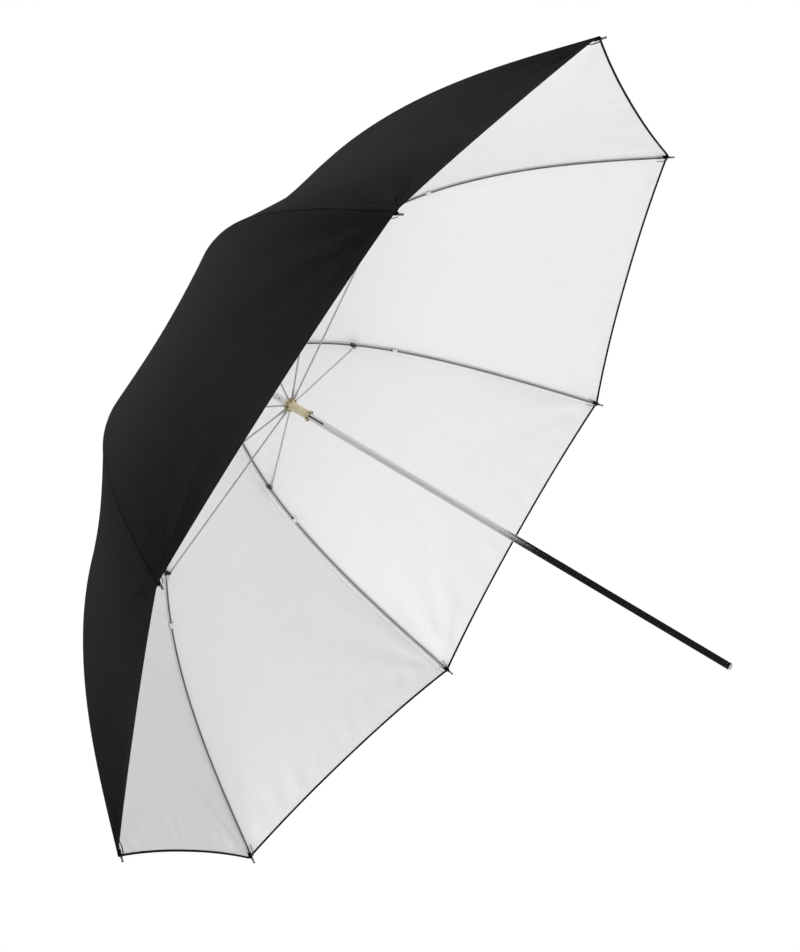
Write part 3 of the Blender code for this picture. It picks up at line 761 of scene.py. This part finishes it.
def clip_mesh():
    """A folded steel clip over the rib, open below, with rounded cheeks."""
    bm = bmesh.new()
    place = CLIP_FRAME
    half, inside, outside = 0.0024, RIB_RADIUS + 0.0001, RIB_RADIUS + 0.0005
    cheek = arc((0, -PIVOT_DROP), 0.0018, 205, 335, 12)
    outline = [(-half, 0.0), (-half, -0.0016), *cheek, (half, -0.0016), (half, 0.0)]
    for sign in (-1, 1):
        move = place @ Matrix.Translation((0, sign * (inside + outside) / 2, 0))
        plate(bm, outline, outside - inside, move, 0.0001)
    rings = []
    for thick in (outside, inside):
        for x in (-half, half):
            rings.append([bm.verts.new(place @ Vector((x, thick * cos(k * pi / 12), thick * sin(k * pi / 12))))
                          for k in range(13)])
    outer_a, outer_b, inner_a, inner_b = rings
    for k in range(12):
        bm.faces.new([outer_a[k], outer_a[k + 1], outer_b[k + 1], outer_b[k]])
        bm.faces.new([inner_b[k], inner_b[k + 1], inner_a[k + 1], inner_a[k]])
        bm.faces.new([outer_a[k + 1], outer_a[k], inner_a[k], inner_a[k + 1]])
        bm.faces.new([outer_b[k], outer_b[k + 1], inner_b[k + 1], inner_b[k]])
    for k in (0, 12):
        bm.faces.new([outer_a[k], outer_b[k], inner_b[k], inner_a[k]])
    return finished(bm, "clip", 35)


def loop_mesh():
    """The bright wire loop that keeps the clip from turning: it lies along the rib, just outside the clip."""
    bm = bmesh.new()
    place = CLIP_FRAME
    near, far, half, corner = 0.0018, 0.0085, 0.0023, 0.0011
    flat = []
    for x, y, start in ((far - corner, half - corner, 0), (near + corner, half - corner, 90),
                        (near + corner, corner - half, 180), (far - corner, corner - half, 270)):
        flat += arc((x, y), corner, start, start + 90, 5)
    swept(bm, [place @ Vector((x, y, -0.0019)) for x, y in flat], 0.00036, 8, closed=True)
    return finished(bm, "loop", 60)


def rivet_mesh():
    """The rivet through the clip, with domed heads."""
    bm = bmesh.new()
    place = CLIP_FRAME @ Matrix.Translation((0, 0, -PIVOT_DROP))
    place = place @ Matrix.Rotation(pi / 2, 4, "X")
    face, head = RIB_RADIUS + 0.0005, 0.0013
    dome = [(head * cos(a), face + 0.0006 * sin(a)) for a in (k * pi / 12 for k in range(7))]
    profile = [(r, -z) for r, z in reversed(dome)] + [(0.0008, -face), (0.0008, face)] + dome
    turned(bm, profile, 20, place)
    return finished(bm, "rivet", 50)


def stretcher_mesh():
    """A straight wire with a flat eye at the rivet and a flat tongue at the runner."""
    bm = bmesh.new()
    run = RUNNER_PIVOT - CLIP_PIVOT
    length = run.length
    place = Matrix.Translation(CLIP_PIVOT) @ Matrix.Rotation(atan2(run.x, run.z) - pi / 2, 4, "Y")
    points = [place @ Vector((x, 0, 0)) for x in (0.0050, 0.0062, 0.0080, 0.012, length / 2, length - 0.016,
                                                  length - 0.012, length - 0.0104)]
    radii = [STRETCHER_RADIUS * share for share in (0.68, 0.80, 0.86, 0.86, 0.86, 0.86, 0.84, 0.72)]
    swept(bm, points, radii, 16)
    eye = arc((0, 0), 0.0022, 40, 320, 22)
    outline = [(0.0068, 0.0011), (0.0050, 0.0012), (0.0026, 0.0013), *eye, (0.0026, -0.0013), (0.0050, -0.0012),
               (0.0068, -0.0011)]
    plate(bm, outline, 0.0014, place, 0.0002)
    nose = arc((length - 0.0026, 0), 0.0015, -90, 90, 12)
    plate(bm, [(length - 0.0120, -0.0010), *nose, (length - 0.0120, 0.0010)], 0.0014, place, 0.0002)
    return finished(bm, "stretcher", 45)


def pocket_mesh():
    """The black corner pocket sewn over the rib's tip: a short flattened sock with a turned-back mouth."""
    bm = bmesh.new()
    stops = np.linspace(RIB_LENGTH - 0.0070, RIB_LENGTH + 0.0008, 14)
    radii = []
    for stop in stops:
        mouth = 0.0003 * np.exp(-(((stop - stops[0]) / 0.0010) ** 2))
        closing = 0.0006 * float(smooth(np.array(stop), RIB_LENGTH - 0.0020, RIB_LENGTH + 0.0008))
        radii.append(0.0017 + mouth + 0.00012 * sin(stop * 2600) - closing)
    swept(bm, [rib_at(stop, 0.0008)[0] for stop in stops], radii, 20, flatten=1.25)
    return finished(bm, "pocket", 60)


def corner_wire_mesh():
    """The thin wire hook inside the corner that keeps the pocket on the rib: two short legs and a bend."""
    bm = bmesh.new()
    start, end = RIB_LENGTH - 0.0150, RIB_LENGTH - 0.0012
    legs = []
    for side in (-1, 1):
        for n in range(9):
            share = n / 8 if side < 0 else 1 - n / 8
            spread = 0.0030 * (1 - share) ** 0.7 + 0.0011
            point = rib_at(start + (end - start) * share, -0.0022 - 0.0006 * sin(pi * share))[0]
            legs.append(point + Vector((0, side * spread, 0)))
    for leg in (legs[:9], legs[9:]):
        swept(bm, leg, 0.00042, 8)
    return finished(bm, "corner_wire", 60)


def tie_mesh():
    """Turns of white thread that tie the cloth's seam to the rib, with a knot and two short ends."""
    bm = bmesh.new()
    start, length = TIE_START, 0.0062
    turns, steps = 8, 16
    sideways = Vector((0, 1, 0))
    points = []
    for n in range(turns * steps + 1):
        angle = 2 * pi * n / steps
        point, slope = rib_at(start + length * n / (turns * steps), -0.0003)
        over = Vector((sin(slope), 0, cos(slope)))
        points.append(point + over * (0.0024 * cos(angle) - 0.0001) + sideways * 0.0021 * sin(angle))
    swept(bm, points, 0.00050, 8)
    for sign, bend in ((1, 0.0010), (-1, -0.0016)):
        base, slope = rib_at(start + length / 2, -0.0024)
        along = Vector((cos(slope), 0, -sin(slope)))
        over = Vector((sin(slope), 0, cos(slope)))
        tail = [base + along * (sign * 0.0042 * t) - over * (0.0010 * sin(pi * t)) + sideways * bend * t * t
                for t in (0.0, 0.25, 0.5, 0.75, 1.0)]
        swept(bm, tail, 0.00030, 8)
    return finished(bm, "tie", 60)


def make_ribs():
    steel, cloth = "grey_steel", "canopy_cloth"
    meshes = [("rib_rod", rib_mesh, None, "rib", "rib", steel),
              ("rib_bead", tip_mesh, RIB_METAL, "rib", "rib_tip", steel),
              ("knuckle_clip", clip_mesh, DARK_METAL, "rib", "rib_clip", "dark_metal"),
              ("knuckle_loop", loop_mesh, CLIP_METAL, "rib", None, steel),
              ("knuckle_rivet", rivet_mesh, DARK_METAL, "rib", None, steel),
              ("corner_pocket", pocket_mesh, HEM_CLOTH, "rib", None, cloth),
              ("corner_wire", corner_wire_mesh, DARK_METAL, "rib", None, steel),
              ("thread_tie", tie_mesh, WHITE_THREAD, "rib", None, cloth),
              ("stretcher_wire", stretcher_mesh, WIRE_METAL, "stretcher", "stretcher", steel)]
    strays = {"rib_rod", "rib_bead", "corner_pocket", "corner_wire", "thread_tie"}
    for name, make, look, body, node, slot in meshes:
        even = make()
        for number in range(1, RIB_COUNT + 1):
            mesh = stray_mesh(even.copy(), number) if name in strays else even
            piece = add_piece(f"{name}_{number}", mesh, look, (number - 1) * RIB_STEP)
            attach(piece, f"{body}_{number}")
            if node:
                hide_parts(f"{node}_{number}")


make_ribs()


# -------- shaft, collars and cap

SHAFT_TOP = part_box("shaft_tube")[1][2]
SHAFT_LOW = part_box("shaft_tube")[0][2]
CATCH_AZIMUTH = radians(22.5)
CATCH_ROOT_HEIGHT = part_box("catch_root_pin")[0][2] + 0.0008
CATCH_NOSE_HEIGHT = CATCH_ROOT_HEIGHT + 0.0665
STOP_PIN_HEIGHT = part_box("runner_stop_pin")[0][2] + 0.0008
BORE_RADIUS = 0.0034
ROUND_STEPS = 96


def carved(bm, cutters, name):
    """The solid in bm less the solids that the cutters draw."""
    target = bpy.data.objects.new(name, finished(bm, name))
    bpy.context.collection.objects.link(target)
    used = [target]
    for draw in cutters:
        cutter = bmesh.new()
        draw(cutter)
        other = bpy.data.objects.new("cutter", finished(cutter, "cutter"))
        bpy.context.collection.objects.link(other)
        step = target.modifiers.new("step", "BOOLEAN")
        step.operation, step.solver, step.object = "DIFFERENCE", "EXACT", other
        used.append(other)
    bpy.context.view_layer.update()
    mesh = bpy.data.meshes.new_from_object(target.evaluated_get(bpy.context.evaluated_depsgraph_get()))
    for old in used:
        bpy.data.objects.remove(old)
    mesh.name = name
    return shaded(mesh, 32)


def radial_frame(azimuth, height):
    """The frame on the shaft's axis whose Z points outwards at azimuth."""
    outwards = Matrix.Rotation(azimuth, 4, "Z") @ Matrix.Rotation(pi / 2, 4, "Y")
    return Matrix.Translation((0, 0, height)) @ outwards


def radial_hole(azimuth, height, radius, start, end):
    """Draws a round hole that runs outwards from the axis at azimuth."""
    def draw(bm):
        turned(bm, [(0, start), (radius, start), (radius, end), (0, end)], 20, radial_frame(azimuth, height))
    return draw


def radial_block(azimuth, start, end, width, low, high):
    """Draws a block from radius start to end, that wide, between two heights."""
    def draw(bm):
        outline = [(start, low), (end, low), (end, high), (start, high)]
        plate(bm, outline, width, Matrix.Rotation(azimuth, 4, "Z"))
    return draw


def shaft_mesh():
    bm = bmesh.new()
    ease = 0.00025
    turned(bm, [(BORE_RADIUS, SHAFT_TOP), (SHAFT_RADIUS - ease, SHAFT_TOP), (SHAFT_RADIUS, SHAFT_TOP - ease),
                (SHAFT_RADIUS, SHAFT_LOW), (BORE_RADIUS, SHAFT_LOW)], ROUND_STEPS)
    low, high, width = CATCH_NOSE_HEIGHT - 0.0150, CATCH_NOSE_HEIGHT + 0.0060, 0.0019
    cutters = [radial_block(CATCH_AZIMUTH, 0.0015, 0.0060, width, low, high),
               radial_hole(CATCH_AZIMUTH, low, width / 2, 0.0015, 0.0060)]
    for side in (pi / 2, -pi / 2):
        cutters.append(radial_hole(CATCH_AZIMUTH + side, CATCH_ROOT_HEIGHT, 0.0011, 0.0015, 0.0060))
        cutters.append(radial_hole(CATCH_AZIMUTH + pi / 2 + side, STOP_PIN_HEIGHT, 0.0011, 0.0015, 0.0060))
    return carved(bm, cutters, "shaft")


def plug_mesh():
    """The turned nose of the shaft: a fine groove where it meets the tube, then a rounded end."""
    bm = bmesh.new()
    spigot, top = BORE_RADIUS - 0.0003, SHAFT_LOW + 0.008
    nose = arc((SHAFT_RADIUS - 0.0022, SHAFT_BOTTOM + 0.0022), 0.0022, 0, -90, 12)
    turned(bm, [(0, top), (spigot, top), (spigot, SHAFT_LOW), (SHAFT_RADIUS - 0.0003, SHAFT_LOW - 0.0002),
                (SHAFT_RADIUS, SHAFT_LOW - 0.0005), *nose, (0, SHAFT_BOTTOM)], ROUND_STEPS)
    return finished(bm, "plug", 35)


SLOT_WIDTH = 0.0026


def lobes_mesh(name, height, reach, radius):
    """Round lobes between a collar's slots, each with a dimple in its outer end."""
    bm = bmesh.new()
    for n in range(RIB_COUNT):
        place = radial_frame((n + 0.5) * RIB_STEP, height)
        rounding = arc((radius - 0.0006, reach - 0.0006), 0.0006, 0, 80, 5)
        turned(bm, [(0, 0.0060), (radius, 0.0060), *rounding, (0.0010, reach), (0.0008, reach - 0.0008),
                    (0, reach - 0.0008)], 24, place)
    return finished(bm, name, 40)


def collar_mesh(name, profile, height, low, slots):
    """A turned collar of (radius, height) points with radial slots from low up, and other cuts."""
    bm = bmesh.new()
    turned(bm, [(radius, height + z) for radius, z in profile], ROUND_STEPS)
    slots = slots + [radial_block(n * RIB_STEP, 0.0058, 0.02, SLOT_WIDTH, height + low, height + 0.006)
                     for n in range(RIB_COUNT)]
    return carved(bm, slots, name)


def runner_mesh():
    """The runner: a crown slotted for the stretchers, a plain barrel and a notched flange."""
    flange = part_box("runner_sleeve")[0][2] - RUNNER_HEIGHT
    profile = [(0.0044, 0.0038), (0.0062, 0.0038), (0.0070, 0.0032), (0.0074, 0.0020), (0.0074, -0.0026),
               (0.0078, -0.0038), (0.0074, -0.0050), (0.0060, -0.0056), (0.0053, -0.0062), (0.0051, -0.0072),
               (0.0051, flange + 0.0046), (0.0053, flange + 0.0038), (0.0061, flange + 0.0034),
               (0.0067, flange + 0.0026), (0.0068, flange + 0.0010), (0.0064, flange), (0.0060, flange),
               (0.0055, flange + 0.0024), (0.0044, flange + 0.0026)]
    bottom = RUNNER_HEIGHT + flange
    bearings = [(n + 0.5) * pi / 3 + CATCH_AZIMUTH for n in range(6)]
    notches = [radial_block(a, 0.0050, 0.0080, 0.0017, bottom - 0.001, bottom + 0.0022) for a in bearings]
    return collar_mesh("runner", profile, RUNNER_HEIGHT, -0.0065, notches)


def hub_mesh():
    """The notch: a collar slotted for the ribs over a short neck."""
    profile = [(0.0044, 0.0038), (0.0080, 0.0038), (0.0086, 0.0034), (0.0088, 0.0026), (0.0088, -0.0028),
               (0.0082, -0.0040), (0.0076, -0.0058), (0.0062, -0.0062), (0.0060, -0.0070), (0.0060, -0.0094),
               (0.0056, -0.0099), (0.0044, -0.0099)]
    return collar_mesh("hub", profile, NOTCH_HEIGHT, -0.0045, [])


def cap_mesh():
    """The moulded cap over the canopy's middle: a stepped dome with a rounded rim."""
    bm = bmesh.new()
    base = NOTCH_HEIGHT
    rim = arc((0.0152, base + 0.0056), 0.0008, -90, 60, 6)
    knob = arc((0.0042, base + 0.0156), 0.0014, 0, 90, 8)
    turned(bm, [(0.0043, base + 0.0048), *rim, (0.0128, base + 0.0076), (0.0098, base + 0.0086),
                (0.0072, base + 0.0096), (0.0060, base + 0.0108), (0.0057, base + 0.0130), *knob,
                (0, base + 0.0170), (0, base + 0.0123), (0.0043, base + 0.0123)], ROUND_STEPS)
    return finished(bm, "cap", 40)


def make_fittings():
    steel, gilt = "polished_steel", "champagne_metal"
    notch_lobes = lobes_mesh("notch_lobes", NOTCH_HEIGHT, 0.0100, 0.0021)
    runner_lobes = lobes_mesh("runner_lobes", RUNNER_HEIGHT, 0.0088, 0.0017)
    for name, mesh, look, body, node, slot in (
            ("shaft_rod", shaft_mesh(), SHAFT_METAL, "shaft", "shaft_tube", steel),
            ("shaft_nose", plug_mesh(), SHAFT_METAL, "shaft", "shaft_end_plug", steel),
            ("notch_collar", hub_mesh(), CHAMPAGNE, "shaft", "notch_hub", gilt),
            # The lobes take the darker champagne copy, painted shade on the same metal.
            ("notch_lobes", notch_lobes, GILT_PAINTED_SHADE, "shaft", None, gilt),
            ("runner_body", runner_mesh(), CHAMPAGNE, "runner", "runner_sleeve", gilt),
            ("runner_lobes", runner_lobes, GILT_PAINTED_SHADE, "runner", None, gilt),
            ("canopy_cap", cap_mesh(), PLASTIC, "shaft", "top_cap", "black_plastic")):
        piece = add_piece(name, mesh, look, 0.0)
        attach(piece, body)
        if node:
            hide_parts(node)


make_fittings()


def repaint(look, *nodes):
    """Gives carried-over parts their finish."""
    for name in nodes:
        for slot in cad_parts[name].material_slots:
            slot.material = look


repaint(WIRE_METAL, "notch_wire", "runner_wire", "runner_stop_pin")
repaint(DARK_METAL, "catch_root_pin")
repaint(SPRING_METAL, "catch_spring")


# -------- floor, world and lights

FLOOR_DROP = 3.00           # the floor lies this far below the shaft's end
FLOOR_REACH = 16.0
BACKDROP_HEADING = radians(-128)
SOFT_LIGHT = 0.70


def make_floor():
    low = SHAFT_BOTTOM - FLOOR_DROP
    bm = bmesh.new()
    bmesh.ops.create_grid(bm, x_segments=8, y_segments=8, size=FLOOR_REACH)
    bmesh.ops.translate(bm, verts=bm.verts, vec=(0, 0, low))
    look = Look("floor", (0.86, 0.86, 0.86), 0.8)
    cloud = look.noise(look.place(), 0.6, 3.0)
    look.use("Base Color", look.ramp(cloud, (0.3, (0.84, 0.84, 0.84)), (0.8, (0.88, 0.88, 0.88))))
    add_piece("floor", finished(bm, "floor"), look.material)


def make_world():
    """White where the camera looks past the object, even light on the cloth, and a dark studio with a bright
    backdrop in the reflections of the metal."""
    world = bpy.data.worlds.new("studio")
    bpy.context.scene.world = world
    world.use_nodes = True
    world.node_tree.nodes.clear()
    sky = Nodes(world.node_tree)
    way = sky.node("ShaderNodeTexCoord").outputs["Generated"]
    height = sky.node("ShaderNodeSeparateXYZ", {"Vector": way}).outputs["Z"]
    bright_side = (cos(BACKDROP_HEADING), sin(BACKDROP_HEADING), 0.0)
    facing = sky.node("ShaderNodeVectorMath", {0: way, 1: bright_side}, operation="DOT_PRODUCT")
    strip = sky.ramp(facing.outputs["Value"], (0.86, (0.01, 0.01, 0.01)), (0.95, (1.0, 1.0, 1.0)))
    ceiling = sky.ramp(height, (0.50, (0.0, 0.0, 0.0)), (0.90, (0.9, 0.9, 0.9)))
    white = (1.0, 1.0, 1.0, 1.0)
    soft = sky.node("ShaderNodeBackground", {"Color": white, "Strength": SOFT_LIGHT}).outputs[0]
    studio = sky.node("ShaderNodeBackground", {"Color": sky.mix(1.0, strip, ceiling, "ADD")}).outputs[0]
    backdrop = sky.node("ShaderNodeBackground", {"Color": white}).outputs[0]
    path = sky.node("ShaderNodeLightPath").outputs
    lit = sky.node("ShaderNodeMixShader", {0: path["Is Glossy Ray"], 1: soft, 2: studio}).outputs[0]
    shown = sky.node("ShaderNodeMixShader", {0: path["Is Camera Ray"], 1: lit, 2: backdrop}).outputs[0]
    sky.node("ShaderNodeOutputWorld", {"Surface": shown})


def area_light(name, place, target, size, power):
    data = bpy.data.lights.new(name, "AREA")
    data.shape = "RECTANGLE"
    data.size, data.size_y = size
    data.energy = power
    made = bpy.data.objects.new(name, data)
    bpy.context.collection.objects.link(made)
    made.location = place
    made.visible_glossy = False
    way = Vector(target) - Vector(place)
    made.rotation_euler = way.to_track_quat("-Z", "Y").to_euler()


make_floor()
make_world()
area_light("key_light", (1.6, -0.6, -0.55), (0.0, 0.0, 0.42), (1.6, 1.2), 22.0)
area_light("top_light", (0.6, 1.2, 2.2), (0.0, 0.0, 0.45), (1.2, 1.2), 18.0)
area_light("side_light", (-0.1, 2.3, 0.75), (0.3, 0.1, 0.45), (0.7, 0.9), 24.0)

scene = bpy.context.scene
scene.view_settings.view_transform = "Standard"
scene.view_settings.look = "None"
